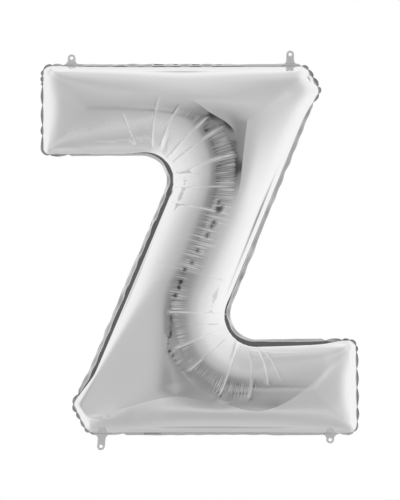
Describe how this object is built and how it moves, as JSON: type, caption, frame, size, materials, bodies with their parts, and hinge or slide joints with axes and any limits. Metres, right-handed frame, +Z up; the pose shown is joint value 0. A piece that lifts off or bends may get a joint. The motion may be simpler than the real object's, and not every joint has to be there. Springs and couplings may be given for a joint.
{
  "type": "letter foil balloon",
  "caption": "Silver foil balloon in the shape of a letter Z, blown up, with punched hanging tabs on its seam and a filling tail folded up behind.",
  "frame": {"origin": "middle of the letter's height and width, in the plane of the seal between the front and back sheets", "axes": "+Z up the letter, +X to the right as it is read, +Y out of its back"},
  "size_m": [0.7677, 0.2794, 0.9668],
  "materials": {
    "foil": "bright metallised film, mirror-like",
    "clear_film": "clear film"
  },
  "bodies": {
    "envelope": {"front_sheet": "foil", "back_sheet": "foil", "seal_band": "foil"},
    "tab_top_left": {"hang_tab_top_left": "foil"},
    "tab_top_right": {"hang_tab_top_right": "foil"},
    "tab_bottom_left": {"hang_tab_bottom_left": "foil"},
    "tab_bottom_right": {"hang_tab_bottom_right": "foil"},
    "tail": {"filling_tail": "foil", "valve_film": "clear_film"}
  },
  "joints": [
    {"name": "tab_top_left_fold", "type": "hinge", "parent": "envelope", "child": "tab_top_left", "pos_m": [-0.3107, 0, 0.4495], "axis": [-1, 0, 0], "range_deg": [-90, 90]},
    {"name": "tab_top_right_fold", "type": "hinge", "parent": "envelope", "child": "tab_top_right", "pos_m": [0.2183, 0, 0.4495], "axis": [-1, 0, 0], "range_deg": [-90, 90]},
    {"name": "tab_bottom_left_fold", "type": "hinge", "parent": "envelope", "child": "tab_bottom_left", "pos_m": [-0.2372, 0, -0.4495], "axis": [1, 0, 0], "range_deg": [-90, 90]},
    {"name": "tab_bottom_right_fold", "type": "hinge", "parent": "envelope", "child": "tab_bottom_right", "pos_m": [0.3151, 0, -0.4495], "axis": [1, 0, 0], "range_deg": [-90, 90]},
    {"name": "tail_fold", "type": "hinge", "parent": "envelope", "child": "tail", "pos_m": [-0.115, 0, -0.44995], "axis": [1, 0, 0], "range_deg": [-100, 8]}
  ]
}
